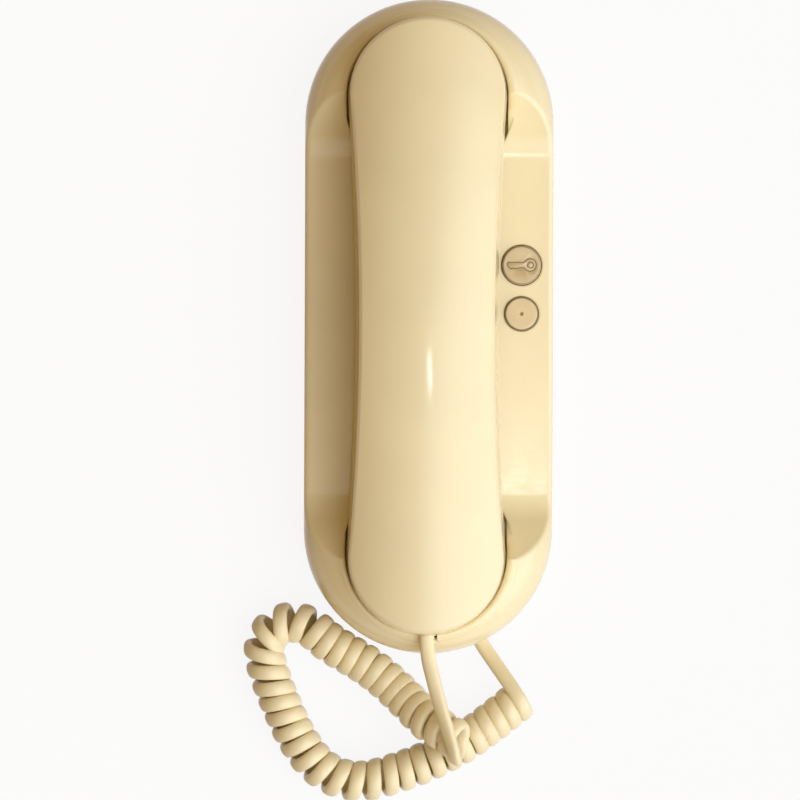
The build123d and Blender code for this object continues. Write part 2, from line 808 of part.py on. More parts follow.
with BuildPart() as aux_dome:
    with Locations((button_x, aux_button_y)):
        add(dome_form())
finish(aux_dome, "aux_dome")

# Hook plunger under the grip, with its spring and switch
with BuildPart() as hook_plunger:
    with Locations((0, hook_y, hook_flange_bottom)):
        Cylinder(hook_radius, hook_top - hook_flange_bottom, align=standing)
    fillet(hook_plunger.edges().group_by(Axis.Z)[-1], hook_tip_radius)
    with Locations((0, hook_y, hook_flange_bottom)):
        Cylinder(hook_flange_radius, hook_flange_thickness, align=standing)
        Cylinder(hook_stem_radius, hook_stem_length, align=hanging)
finish(hook_plunger, "hook_plunger")

spring_height = hook_flange_bottom - board_top - 2 * hook_spring_wire
with BuildPart() as hook_spring:
    with BuildLine():
        spring_line = Helix(
            spring_height / hook_spring_turns,
            spring_height,
            hook_spring_radius,
            center=(0, hook_y, board_top + hook_spring_wire),
        )
    with BuildSketch(Plane(spring_line @ 0, z_dir=spring_line % 0)):
        RegularPolygon(hook_spring_wire, cord_section_sides)
    sweep(path=spring_line, is_frenet=True)
finish(hook_spring, "hook_spring")

lever_top = hook_flange_bottom - joint_gap
with BuildPart() as hook_switch:
    with Locations((switch_x, hook_y, board_top)):
        Box(switch_width, switch_depth, switch_height, align=standing)
    with Locations((switch_x - switch_width / 2, hook_y, lever_top)):
        Box(2 * switch_lever, switch_depth / 2, switch_lever_thickness, align=hanging)
finish(hook_switch, "hook_switch")

# Where the cord enters the case: a grommet, the tail of the jacket and its clamp
with BuildPart() as base_gland:
    with BuildSketch(inward_plane):
        Circle(gland_bush_radius)
    extrude(amount=cover_wall + gland_setback)
    with BuildSketch(inward_plane.offset(cover_wall + gland_setback)):
        Circle(gland_flange_radius)
    extrude(amount=gland_flange_thickness)
    with BuildSketch(inward_plane):
        Circle(cord_radius)
    extrude(amount=2 * cut_overrun, mode=Mode.SUBTRACT)
    split(bisect_by=Plane.XY.offset(plate_floor + gland_gap), keep=Keep.TOP)
finish(base_gland, "base_gland")

knee_reach = (exit_point.X - clamp_x) / exit_direction.X
tail_knee = exit_point - exit_direction * knee_reach
base_cord_tail = cord_tube(
    "base_cord_tail",
    [exit_point, tail_knee, Vector(clamp_x, tail_end_y, base_exit_height)],
)
finish(base_cord_tail, "base_cord_tail")

with BuildPart() as cord_clamp:
    saddle_radius = cord_radius + clamp_wall
    with BuildSketch(Plane((clamp_x, clamp_y, base_exit_height), x_dir=(1, 0, 0), z_dir=(0, -1, 0))):
        Circle(saddle_radius)
        Rectangle(2 * saddle_radius, base_exit_height - plate_floor, align=(Align.CENTER, Align.MAX))
        with Locations((0, plate_floor - base_exit_height)):
            Rectangle(2 * (saddle_radius + clamp_foot), clamp_wall, align=(Align.CENTER, Align.MIN))
        Circle(cord_radius, mode=Mode.SUBTRACT)
        Rectangle(2 * cord_radius, base_exit_height, align=(Align.CENTER, Align.MAX), mode=Mode.SUBTRACT)
    extrude(amount=clamp_width / 2, both=True)
    with BuildSketch(Plane((clamp_x, clamp_y, plate_floor))):
        with GridLocations(2 * clamp_screw_x, clamp_width, 2, 1):
            Circle(clamp_screw_radius + screw_gap)
    extrude(amount=2 * clamp_wall, mode=Mode.SUBTRACT)
finish(cord_clamp, "cord_clamp")

with BuildPart() as clamp_screws:
    with Locations((clamp_x, clamp_y, plate_floor + clamp_wall)):
        with GridLocations(2 * clamp_screw_x, clamp_width, 2, 1):
            add(screw_form(clamp_screw_radius, clamp_screw_length, clamp_screw_head_radius, clamp_screw_head))
finish(clamp_screws, "clamp_screws")

# Wires from the tail to the board's front edge
with BuildPart() as base_wires:
    rise_y = -board_length / 2 - 2 * wire_radius
    land_y = -board_length / 2 + 2 * wire_spacing
    for place in range(wire_count):
        wire_x = clamp_x + (place - (wire_count - 1) / 2) * wire_spacing
        route = [
            (wire_x, tail_end_y, base_exit_height),
            (wire_x, rise_y, base_exit_height),
            (wire_x, rise_y, board_top + wire_rise),
            (wire_x, land_y, board_top + wire_rise),
            (wire_x, land_y, board_top),
        ]
        add(wire_form(route))
finish(base_wires, "base_wires")

# Handset: a crowned back shell over a shell with the grip and the two cups
with BuildPart() as crown_bosses:
    with Locations(*handset_screw_places):
        with Locations((0, 0, handset_split)):
            Cylinder(handset_boss_radius, handset_crest - handset_split, align=standing)
    add(crown_form(handset_wall), mode=Mode.INTERSECT)

with BuildPart() as handset_back_shell:
    add(crown_form(0))
    fillet(handset_back_shell.faces().filter_by(GeomType.TORUS)[0].edges(), crown_edge_radius)
    add(crown_form(handset_wall), mode=Mode.SUBTRACT)
    # rebate for the lip of the other shell
    extrude(
        handset_outline(lip_split - split_lip_gap, handset_split),
        amount=split_lip_height,
        mode=Mode.SUBTRACT,
    )
    add(crown_bosses.part)
    with Locations(*handset_screw_places):
        with Locations((0, 0, handset_split)):
            Cylinder(handset_screw_radius, handset_screw_length, align=standing, mode=Mode.SUBTRACT)
    with BuildSketch(handset_inward_plane.offset(-cut_overrun)):
        Circle(gland_bush_radius + gland_gap)
    extrude(amount=2 * cut_overrun, mode=Mode.SUBTRACT)
finish(handset_back_shell, "handset_back_shell")

with BuildPart() as handset_inner_shell:
    extrude(handset_outline(0, grip_underside), amount=split_lip_top - grip_underside)
    fillet(handset_inner_shell.edges().group_by(Axis.Z)[0], grip_edge_radius)
    with Locations(*cup_places):
        add(cup_form(0))
    extrude(
        handset_outline(handset_wall, grip_floor),
        amount=split_lip_top - grip_floor,
        mode=Mode.SUBTRACT,
    )
    with Locations(*cup_places):
        add(cup_form(handset_wall), mode=Mode.SUBTRACT)
    # above the split only the inner half of the wall goes on, as a lip
    with BuildSketch(Plane.XY.offset(handset_split)):
        add(handset_outline(-cut_overrun, 0))
        add(handset_outline(lip_split, 0), mode=Mode.SUBTRACT)
    extrude(amount=split_lip_height, mode=Mode.SUBTRACT)
    # sunk screw bosses in the grip
    with Locations(*handset_screw_places):
        with Locations((0, 0, grip_underside)):
            Cylinder(
                handset_screw_head_radius + screw_gap + handset_boss_wall,
                handset_split - grip_underside,
                align=standing,
            )
            Cylinder(
                handset_screw_head_radius + screw_gap,
                handset_screw_seat - grip_underside,
                align=standing,
                mode=Mode.SUBTRACT,
            )
            Cylinder(handset_screw_radius + screw_gap, handset_split, align=standing, mode=Mode.SUBTRACT)
    # rings that hold the receiver and the microphone
    with BuildSketch(Plane((handset_shift, handset_centre, cup_floor))):
        Circle(receiver_radius + nest_gap + nest_wall)
        Circle(receiver_radius + nest_gap, mode=Mode.SUBTRACT)
    extrude(amount=nest_height)
    with BuildSketch(Plane((handset_shift, -handset_centre, cup_floor))):
        Circle(mic_holder_radius + nest_gap + nest_wall)
        Circle(mic_holder_radius + nest_gap, mode=Mode.SUBTRACT)
    extrude(amount=nest_height)
    # dished faces with the ear holes and the mouth slots
    with Locations(*cup_places):
        with Locations((0, 0, cup_bottom)):
            Cylinder(ear_dish_radius, ear_dish_depth, align=standing, mode=Mode.SUBTRACT)
    with BuildSketch(Plane((handset_shift, handset_centre, cup_bottom))):
        Circle(ear_hole_radius)
        with PolarLocations(ear_hole_ring_radius, ear_hole_count):
            Circle(ear_hole_radius)
    extrude(amount=handset_wall, mode=Mode.SUBTRACT)
    with BuildSketch(Plane((handset_shift, -handset_centre, cup_bottom))):
        with GridLocations(mouth_slot_spacing, mouth_slot_spacing, mouth_slot_count, 1):
            SlotOverall(mouth_slot_length, mouth_slot_width, rotation=90)
    extrude(amount=handset_wall, mode=Mode.SUBTRACT)
    with BuildSketch(handset_inward_plane.offset(-cut_overrun)):
        Circle(gland_bush_radius + gland_gap)
    extrude(amount=2 * cut_overrun, mode=Mode.SUBTRACT)
finish(handset_inner_shell, "handset_inner_shell")

with BuildPart() as handset_screws:
    with Locations(*handset_screw_places):
        with Locations((0, 0, handset_screw_seat)):
            add(
                screw_form(
                    handset_screw_radius,
                    handset_screw_length,
                    handset_screw_head_radius,
                    handset_screw_head,
                ),
                rotation=(180, 0, 0),
            )
finish(handset_screws, "handset_screws")

# Receiver on its gasket at the ear end, microphone in its rubber holder at the mouth end
with BuildPart() as receiver_gasket:
    with BuildSketch(Plane((handset_shift, handset_centre, cup_floor))):
        Circle(gasket_radius)
        Circle(gasket_bore, mode=Mode.SUBTRACT)
    extrude(amount=gasket_thickness)
finish(receiver_gasket, "receiver_gasket")

with BuildPart() as receiver:
    with Locations((handset_shift, handset_centre, receiver_bottom)):
        Cylinder(receiver_radius, receiver_body, align=standing)
        Cylinder(receiver_magnet_radius, receiver_body + receiver_magnet, align=standing)
finish(receiver, "receiver")

with BuildPart() as microphone_holder:
    with Locations((handset_shift, -handset_centre, cup_floor)):
        Cylinder(mic_holder_radius, mic_holder_height, align=standing)
        Cylinder(mic_hole_radius, mic_holder_floor, align=standing, mode=Mode.SUBTRACT)
    with Locations((handset_shift, -handset_centre, cup_floor + mic_holder_floor)):
        Cylinder(microphone_radius, mic_holder_height, align=standing, mode=Mode.SUBTRACT)
finish(microphone_holder, "microphone_holder")

with BuildPart() as microphone:
    with Locations((handset_shift, -handset_centre, cup_floor + mic_holder_floor)):
        Cylinder(microphone_radius, microphone_height, align=standing)
finish(microphone, "microphone")

# Where the cord enters the handset: a grommet, the tail of the jacket and the wires
with BuildPart() as handset_gland:
    with BuildSketch(handset_inward_plane):
        Circle(gland_bush_radius)
    extrude(amount=handset_wall + gland_setback)
    with BuildSketch(handset_inward_plane.offset(handset_wall + gland_setback)):
        Circle(gland_flange_radius)
    extrude(amount=gland_flange_thickness)
    with BuildSketch(handset_inward_plane):
        Circle(cord_radius)
    extrude(amount=2 * cut_overrun, mode=Mode.SUBTRACT)
finish(handset_gland, "handset_gland")

handset_tail_end = handset_end + handset_tail_length
with BuildPart() as handset_cord_tail:
    with BuildSketch(handset_inward_plane):
        Circle(cord_radius)
    extrude(amount=handset_tail_length)
finish(handset_cord_tail, "handset_cord_tail")

with BuildPart() as handset_wires:
    high = handset_split + wire_rise
    for side in (-1, 1):
        wire_x = handset_exit_x + side * wire_spacing
        mouth_x = handset_shift + side * microphone_radius / 2
        ear_x = handset_shift + side * receiver_magnet_radius / 2
        mouth_route = [
            (wire_x, handset_tail_end, handset_split),
            (wire_x, handset_tail_end + wire_start, handset_split),
            (mouth_x, -handset_centre, handset_split),
            (mouth_x, -handset_centre, microphone_back),
        ]
        ear_route = [
            (wire_x, handset_tail_end, high),
            (wire_x, handset_tail_end + wire_start, high),
            (handset_shift + side * wire_swing, 0, high),
            (ear_x, handset_centre, high),
            (ear_x, handset_centre, receiver_back),
        ]
        add(wire_form(mouth_route))
        add(wire_form(ear_route))
finish(handset_wires, "handset_wires")

# Curly cord: a left-handed helix about its route, in biarcs of half a turn
with BuildLine():
    curl_axis = FilletPolyline(*curl_route, radius=bend_radii(curl_route))
places = curl_places(curl_axis)
half_turns = len(places) - 1
first_phase = radians(curl_start_phase)
last_phase = radians(curl_end_phase) + half_turns * pi
phases = [first_phase + (last_phase - first_phase) * count / half_turns for count in range(half_turns + 1)]
points = [curl_point(curl_axis, place, phase) for place, phase in zip(places, phases)]
directions = curl_directions(curl_axis, places, phases)
curl_start = points[0] - directions[0] * cord_diameter
curl_end = points[-1] + directions[-1] * cord_diameter
curl_arcs = []
for count in range(half_turns):
    curl_arcs += biarc(points[count], directions[count], points[count + 1], directions[count + 1])

with BuildPart() as curly_cord:
    with BuildLine() as curl_path:
        Line(curl_start, points[0])
        for arc in curl_arcs:
            ThreePointArc(*arc)
        Line(points[-1], curl_end)
    with BuildSketch(Plane(curl_start, z_dir=directions[0])):
        RegularPolygon(cord_radius, cord_section_sides)
    sweep(path=curl_path.wires()[0], clean=False)
finish(curly_cord, "curly_cord")
curl_bends = [edge.radius for edge in curl_path.edges().filter_by(GeomType.CIRCLE)]
curl_length = sum(edge.length for edge in curl_path.edges())
section_area = cord_section_sides / 2 * sin(2 * pi / cord_section_sides) * cord_radius**2
print("curly_cord turns", half_turns / 2, "least gap", round(least_gap(curl_arcs), 2))
print("curly_cord bend radii", round(min(curl_bends), 2), "to", round(max(curl_bends), 2))
print("curly_cord volume", round(curly_cord.part.volume, 1), "of", round(section_area * curl_length, 1))

# Straight ends of the cord: from the case to the curls, and from the curls to the handset
base_lead = cord_tube(
    "base_lead",
    [
        exit_point,
        exit_point + exit_direction * base_lead_run,
        curl_start - directions[0] * base_lead_rise,
        curl_start,
    ],
)
finish(base_lead, "base_lead")

handset_lead = cord_tube(
    "handset_lead",
    [curl_end, curl_end + directions[-1] * handset_lead_rise] + handset_lead_route + [handset_exit],
)
finish(handset_lead, "handset_lead")
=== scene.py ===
from math import atan2, copysign, cos, hypot, pi, radians, sin, sqrt, tan

import bmesh
import bpy
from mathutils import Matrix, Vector


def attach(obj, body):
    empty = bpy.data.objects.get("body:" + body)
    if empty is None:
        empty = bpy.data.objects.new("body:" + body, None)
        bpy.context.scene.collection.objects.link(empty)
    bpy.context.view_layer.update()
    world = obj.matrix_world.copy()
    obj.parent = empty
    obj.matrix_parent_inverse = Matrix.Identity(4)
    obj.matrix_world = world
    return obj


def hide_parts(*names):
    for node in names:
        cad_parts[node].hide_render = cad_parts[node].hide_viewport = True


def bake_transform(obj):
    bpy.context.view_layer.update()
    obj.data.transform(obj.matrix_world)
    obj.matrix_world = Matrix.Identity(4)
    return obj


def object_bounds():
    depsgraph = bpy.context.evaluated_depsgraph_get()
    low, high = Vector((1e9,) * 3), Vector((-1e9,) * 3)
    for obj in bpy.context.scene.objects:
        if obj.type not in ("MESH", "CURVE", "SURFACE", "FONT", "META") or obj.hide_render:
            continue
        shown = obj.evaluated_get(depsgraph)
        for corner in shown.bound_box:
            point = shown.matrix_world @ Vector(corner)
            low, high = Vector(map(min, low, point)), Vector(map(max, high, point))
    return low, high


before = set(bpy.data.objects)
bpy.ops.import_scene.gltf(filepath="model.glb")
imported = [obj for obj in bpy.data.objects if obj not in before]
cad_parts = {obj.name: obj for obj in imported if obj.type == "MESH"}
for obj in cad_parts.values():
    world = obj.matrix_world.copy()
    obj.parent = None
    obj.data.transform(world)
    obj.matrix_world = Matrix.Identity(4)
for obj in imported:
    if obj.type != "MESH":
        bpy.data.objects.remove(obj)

# The view. The case lies on its back and is seen from straight above, through a long lens that is
# turned a little about its own line of sight.
solid_low, solid_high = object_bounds()
view_distance = 1.8
view_height = 0.018
view_width = 0.2672
view_middle = (-0.0095, -0.0246)
view_roll = radians(0.2)
lens_data = bpy.data.cameras.new("camera")
lens_data.lens = lens_data.sensor_width * view_distance / view_width
camera = bpy.data.objects.new("camera", lens_data)
camera.location = (*view_middle, view_height + view_distance)
camera.rotation_euler = (0, 0, view_roll)
bpy.context.scene.collection.objects.link(camera)
bpy.context.scene.camera = camera


# The cord: a flat vinyl jacket over three wires, wound on a rod while it was warm, so that it keeps
# its left-handed curls. Its straight ends go to the case and to the handset. The last curls lie
# across the first, and the last of all folds over towards the handset.
cord_width = 0.0049
cord_thickness = 0.0031
cord_squareness = 2.4
jacket_sides = 16
jacket_step = 0.0008
upwards = Vector((0, 0, 1))

# the row that the curls are wound on, as control points of a smooth line
curl_radius = 0.0054
axis_step = 0.00012
route_smoothness = 24
curl_route = [
    (0.0310, -0.1252, 0.00705),
    (0.0175, -0.1363, 0.00705),
    (0.0045, -0.1442, 0.00705),
    (-0.0105, -0.1502, 0.00705),
    (-0.0240, -0.1537, 0.00705),
    (-0.0358, -0.1493, 0.00705),
    (-0.0439, -0.1386, 0.00705),
    (-0.0494, -0.1265, 0.00705),
    (-0.0537, -0.1155, 0.00705),
    (-0.0554, -0.10775, 0.00705),
    (-0.0523, -0.1013, 0.00705),
    (-0.0457, -0.0989, 0.00705),
    (-0.0393, -0.1007, 0.00705),
    (-0.0334, -0.1062, 0.00705),
    (-0.0188, -0.1145, 0.00705),
    (-0.0100, -0.1222, 0.0078),
    (-0.0045, -0.1277, 0.0108),
    (0.0005, -0.1324, 0.0156),
    (0.0058, -0.1352, 0.0192),
    (0.0115, -0.1391, 0.0204),
]

# how far along the row every other curl crosses over it, and the turn that is left after the last
two_curls = 4 * pi
curl_crossings = [
    0.0, 0.0098, 0.0191, 0.0297, 0.0408, 0.0516, 0.0638, 0.0764, 0.0881, 0.0989,
    0.1094, 0.1212, 0.1341, 0.1475, 0.1574, 0.1670, 0.1768, 0.1869, 0.1984, 0.2094,
]
curl_row = 0.2134
curl_end_turn = radians(270)

# how much the curls lean along the row, at even steps
curl_leans = [
    0.06, 0.02, -0.06, -0.11, 0.03, 0.00, -0.11, -0.09, 0.05,
    0.20, 0.15, -0.20, -0.18, -0.12, -0.18, -0.34, -0.20,
]


def smooth_line(route):
    """Points along the smooth spline that has a route's points as its control points."""
    curve = bpy.data.curves.new("route", "CURVE")
    curve.dimensions = "3D"
    curve.resolution_u = route_smoothness
    spline = curve.splines.new("NURBS")
    spline.points.add(len(route) - 1)
    for control, point in zip(spline.points, route):
        control.co = (*point, 1)
    spline.order_u = 3
    spline.use_endpoint_u = True
    holder = bpy.data.objects.new("route", curve)
    line = [vertex.co.copy() for vertex in bpy.data.meshes.new_from_object(holder).vertices]
    bpy.data.objects.remove(holder)
    return line


def spaced(line, step):
    """Points at even steps along a line, its two ends among them."""
    lengths = [(b - a).length for a, b in zip(line, line[1:])]
    whole = sum(lengths)
    count = max(2, round(whole / step))
    points, at, done = [line[0]], 0, 0.0
    for number in range(1, count):
        target = whole * number / count
        while done + lengths[at] < target:
            done += lengths[at]
            at += 1
        points.append(line[at].lerp(line[at + 1], (target - done) / lengths[at]))
    return points + [line[-1]]


def headings(line):
    """Direction of a line at each of its points."""
    ahead = line[1:] + line[-1:]
    behind = line[:1] + line[:-1]
    return [(b - a).normalized() for a, b in zip(behind, ahead)]


def along(values, share):
    """A value from an evenly spaced list, at a share of the way along it."""
    spot = share * (len(values) - 1)
    before = min(int(spot), len(values) - 2)
    return values[before] + (values[before + 1] - values[before]) * (spot - before)


def carried(line, first, last):
    """Which way the cord's flat face looks along a line.

    Over the line's middle it rolls from the first direction to the last.
    """
    directions = headings(line)
    faces = []
    face = first
    for heading in directions:
        face = (face - heading * face.dot(heading)).normalized()
        faces.append(face)
    roll = atan2(last.dot(directions[-1].cross(face)), last.dot(face))
    # the two flat faces are alike, so the nearer one is taken
    roll = (roll + pi / 2) % pi - pi / 2
    shares = [count / (len(line) - 1) for count in range(len(line))]
    turns = [roll * share * share * (3 - 2 * share) for share in shares]
    return [
        face * cos(turn) + heading.cross(face) * sin(turn)
        for face, heading, turn in zip(faces, directions, turns)
    ]


def made(name, mesh):
    """An object of a mesh, put in the scene."""
    data = bpy.data.meshes.new(name)
    mesh.to_mesh(data)
    mesh.free()
    piece = bpy.data.objects.new(name, data)
    bpy.context.scene.collection.objects.link(piece)
    return piece


def jacket(name, line, faces):
    """The flat cord along a line, with its broad sides to the faces' directions, closed at its ends."""
    section = []
    for count in range(jacket_sides):
        turn = 2 * pi * count / jacket_sides
        across = copysign(abs(cos(turn)) ** (2 / cord_squareness), cos(turn)) * cord_width / 2
        through = copysign(abs(sin(turn)) ** (2 / cord_squareness), sin(turn)) * cord_thickness / 2
        section.append((across, through))
    mesh = bmesh.new()
    rings = []
    for point, heading, face in zip(line, headings(line), faces):
        outward = (face - heading * face.dot(heading)).normalized()
        sideways = outward.cross(heading)
        rings.append([
            mesh.verts.new(point + sideways * across + outward * through) for across, through in section
        ])
    for ring, following in zip(rings, rings[1:]):
        for count in range(jacket_sides):
            after = (count + 1) % jacket_sides
            mesh.faces.new((ring[count], ring[after], following[after], following[count]))
    for ring in (rings[0], rings[-1]):
        for edge in mesh.faces.new(ring).edges:
            edge.smooth = False
    bmesh.ops.recalc_face_normals(mesh, faces=mesh.faces)
    for face in mesh.faces:
        face.smooth = len(face.verts) < jacket_sides
    return made(name, mesh)


# the curls go round their row, and fan out where it bends
axis = spaced(smooth_line(curl_route), axis_step)
curls = []
curl_faces = []
for count, (point, heading) in enumerate(zip(axis, headings(axis))):
    share = count / (len(axis) - 1)
    row = share * curl_row
    after = next((spot for spot, far in enumerate(curl_crossings) if far > row), 0)
    if after:
        start, end = curl_crossings[after - 1:after + 1]
        phase = two_curls * (after - 1 + (row - start) / (end - start))
    else:
        phase = two_curls * (len(curl_crossings) - 1)
        phase += curl_end_turn * (row - curl_crossings[-1]) / (curl_row - curl_crossings[-1])
    sideways = upwards.cross(heading).normalized()
    face = sideways * sin(phase) + heading.cross(sideways) * cos(phase)
    curls.append(point + (face + heading * along(curl_leans, share) * sin(phase)) * curl_radius)
    curl_faces.append(face)
first_heading = (curls[1] - curls[0]).normalized()
last_heading = (curls[-1] - curls[-2]).normalized()

# the straight end at the case
cord_exit = Vector((0.0177, -0.10529, 0.0052))
cord_exit_direction = Vector((0.4265, -0.9045, 0))
exit_reach = 0.002
curl_reach = 0.003
base_route = [
    cord_exit,
    cord_exit + cord_exit_direction * exit_reach,
    curls[0] - first_heading * curl_reach,
    curls[0],
]
base_line = spaced(smooth_line(base_route), jacket_step)
base_faces = carried(base_line, upwards, curl_faces[0])

# the last curl rises and folds over into the straight end at the handset
handset_exit = Vector((-0.0003, -0.1027, 0.03))
handset_route = [
    curls[-1],
    curls[-1] + last_heading * curl_reach,
    (0.0093, -0.1446, 0.0275),
    (0.0084, -0.1402, 0.0288),
    (0.0069, -0.1350, 0.0292),
    (0.0046, -0.1275, 0.0294),
    (0.0020, -0.1180, 0.0297),
    (-0.0003, -0.1085, 0.0300),
    handset_exit,
]
handset_line = spaced(smooth_line(handset_route), jacket_step)
handset_faces = carried(handset_line, curl_faces[-1], upwards)
fold_top = 0.0250
fold = next(count for count, point in enumerate(handset_line) if point.z > fold_top)

curled_line = base_line[:-1] + curls + handset_line[1:fold + 1]
curled_faces = base_faces[:-1] + curl_faces + handset_faces[1:fold + 1]
curled_cord = jacket("curled_cord", curled_line, curled_faces)
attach(curled_cord, "case")
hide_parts("base_lead", "curly_cord")

# the straight end by the handset, from the fold on, is a piece of its own
handset_lead = jacket("handset_lead_cord", handset_line[fold:], handset_faces[fold:])
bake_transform(handset_lead)
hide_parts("handset_lead")


# The cord's vinyl: the case's cream, but softer and a little less shiny. Its colour was drawn out in
# faint streaks when the jacket was pressed round the wires, and its skin has fine pores.
# Scales of noise are lumps to the metre, here and in every later finish.
jacket_colour = (0.86, 0.745, 0.46)
jacket_shades = (0.95, 1.04)
streak_scale = 90.0
streak_share = 0.75
pore_scale = 3000.0
jacket_roughness = 0.24
streak_roughness = 0.12
jacket_skin_scale = 1500.0
middle_half = (0.25, 0.75)


class Shade:
    """One output in a material's nodes, so that a sum of them is written as a sum."""

    # the Mix node's sockets when it mixes colours
    mix_share, mix_first, mix_second, mix_result = 0, 6, 7, 2

    def __init__(self, tree, output=None):
        self.tree = tree
        self.output = output

    def node(self, kind, inputs, output=0, **settings):
        """The output of a new node, with its settings and the values or links of its sockets."""
        added = self.tree.nodes.new("ShaderNode" + kind)
        for name, value in settings.items():
            setattr(added, name, value)
        for name, value in inputs.items():
            if isinstance(value, Shade):
                self.tree.links.new(value.output, added.inputs[name])
            else:
                added.inputs[name].default_value = value
        return Shade(self.tree, added.outputs[output])

    def maths(self, operation, first, second):
        """The result of a sum of two numbers, either of them an output or a plain number."""
        return self.node("Math", {0: first, 1: second}, operation=operation)

    def __add__(self, other):
        return self.maths("ADD", self, other)

    def __sub__(self, other):
        return self.maths("SUBTRACT", self, other)

    def __rsub__(self, other):
        return self.maths("SUBTRACT", other, self)

    def __mul__(self, other):
        return self.maths("MULTIPLY", self, other)

    def __gt__(self, other):
        return self.maths("GREATER_THAN", self, other)

    def __lt__(self, other):
        return self.maths("LESS_THAN", self, other)

    __radd__ = __add__
    __rmul__ = __mul__

    def size(self):
        """Without its sign."""
        return self.maths("ABSOLUTE", self, 0.0)

    def between(self, low, high):
        """From 0 at low to 1 at high, smoothly."""
        inputs = {"Value": self, "From Min": low, "From Max": high}
        return self.node("MapRange", inputs, interpolation_type="SMOOTHSTEP")

    def mixed(self, first, second):
        """The first colour where this is 0 and the second where it is 1."""
        inputs = {self.mix_share: self, self.mix_first: first, self.mix_second: second}
        return self.node("Mix", inputs, output=self.mix_result, data_type="RGBA")

    def link_to(self, kind):
        """Links this, a shader, to a new output node."""
        ending = self.tree.nodes.new("ShaderNode" + kind)
        self.tree.links.new(self.output, ending.inputs["Surface"])


def new_finish(name):
    """A new, empty material and the start of its nodes."""
    material = bpy.data.materials.new(name)
    material.use_nodes = True
    material.node_tree.nodes.clear()
    return material, Shade(material.node_tree)


def shown(start, colour, roughness, normal, metallic=0.0):
    """The shader and the output of a material."""
    inputs = {"Base Color": colour, "Roughness": roughness, "Normal": normal, "Metallic": metallic}
    start.node("BsdfPrincipled", inputs).link_to("OutputMaterial")


def own_place(start):
    """Where a point of the object is, in the object's own frame."""
    return start.node("TexCoord", {}, output="Object")


def noise(start, scale, detail=2.0, roughness=0.5):
    """Soft noise with so many lumps to the metre."""
    inputs = {"Vector": own_place(start), "Scale": scale, "Detail": detail, "Roughness": roughness}
    return start.node("TexNoise", inputs, output="Fac")


def bumped(start, strength, depth, height, **inputs):
    """The direction of a skin that rises and falls by a height, as far as a depth."""
    return start.node("Bump", {"Strength": strength, "Distance": depth, "Height": height, **inputs})


def shaded(colour, share=1.0):
    """A colour made lighter or darker, as a shader takes it."""
    return (colour[0] * share, colour[1] * share, colour[2] * share, 1)


def varied(tone, colour, shades):
    """A colour that goes from its darker to its lighter shade with a tone."""
    return tone.mixed(shaded(colour, shades[0]), shaded(colour, shades[1]))


def dress(material, *pieces):
    """Gives a material to pieces, in the place of any other."""
    for piece in pieces:
        piece.data.materials.clear()
        piece.data.materials.append(material)


vinyl, start = new_finish("cord_jacket")
streaks = noise(start, streak_scale, detail=3.0)
pores = noise(start, pore_scale, detail=1.0)
tone = (streaks * streak_share + pores * (1 - streak_share)).between(*middle_half)
skin = bumped(start, strength=0.3, depth=0.0001, height=noise(start, jacket_skin_scale))
rough = jacket_roughness + streaks * streak_roughness
shown(start, varied(tone, jacket_colour, jacket_shades), rough, skin)
dress(vinyl, curled_cord, handset_lead)


# The case: a glossy cream cover screwed to a plain back plate, both moulded in the same plastic.
# The cover's scooped middle makes room for the fingers, and its raised ends cradle the handset.
# A bevel in the cover's finish softens the hard lines of its solid.
case_colour = (0.87, 0.757, 0.462)
case_roughness = 0.17
case_softness = 0.0012
softness_samples = 6
plate_shade = 0.94
plate_roughness = 0.34
plate_grain = 0.0003
moulded_grain = 0.0002
moulded_strength = 0.05
mottle = (0.97, 1.03)
cloud_scale = 35.0
cloud_share = 0.8
speck_scale = 2400.0
mark_scale = 160.0
mark_limits = (0.35, 0.75)
mark_roughness = 0.06
moulded_skin_scale = 500.0


def wear(material, *nodes):
    """Gives a material to solids that keep their own shape."""
    dress(material, *(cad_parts[node] for node in nodes))


def moulded(name, colour, roughness, grain=moulded_grain, softness=0.0):
    """Moulded plastic or rubber.

    Its colour has faint clouds and fine specks, handling has left marks, and its skin isn't quite flat.
    """
    material, start = new_finish(name)
    clouds = noise(start, cloud_scale, detail=3.0)
    specks = noise(start, speck_scale, detail=1.0)
    marks = noise(start, mark_scale, detail=5.0, roughness=0.65)
    tone = (clouds * cloud_share + specks * (1 - cloud_share)).between(*middle_half)
    rough = roughness + (marks.between(*mark_limits) - 0.5) * mark_roughness
    edges = {}
    if softness:
        edges["Normal"] = start.node("Bevel", {"Radius": softness}, samples=softness_samples)
    skin = bumped(start, moulded_strength, grain, noise(start, moulded_skin_scale), **edges)
    shown(start, varied(tone, colour, mottle), rough, skin)
    return material


case_plastic = moulded("case_plastic", case_colour, case_roughness, softness=case_softness)
wear(case_plastic, "front_cover")
plate_colour = shaded(case_colour, plate_shade)
wear(moulded("plate_plastic", plate_colour, plate_roughness, plate_grain), "base_plate")


# The rims of the two wells, moulded in one with the cover: a full round that leads the handset's
# ends in, and that runs out down the slopes at the sides. The lower rim is broken where the cord
# comes out of the handset.
well_middle = 0.07525
well_radius = 0.02825
handset_middle = -0.0007
handset_radius = 0.0264
rim_clearance = 0.0004

# the cover's end that the rims stand on: a dome, its slope to the scoop and the wells' ledge
dome_middle = 0.06775
dome_flat = 0.0265
dome_radius = 0.015
dome_top = 0.032
slope_foot = (0.06403, 0.02239)
slope = tan(radians(34))
ledge_height = 0.026

# the rims themselves, which end so far below the well's middle and are sunk a little in the cover
rim_ends = radians(23)
rim_width = 0.0012
rim_depth = 0.0027
rim_skirt = 0.0035
rim_edge = 0.0008
rim_sink = 0.00015
notch_edges = (-0.0016, 0.0031)
rim_steps = 320
rim_round = 8


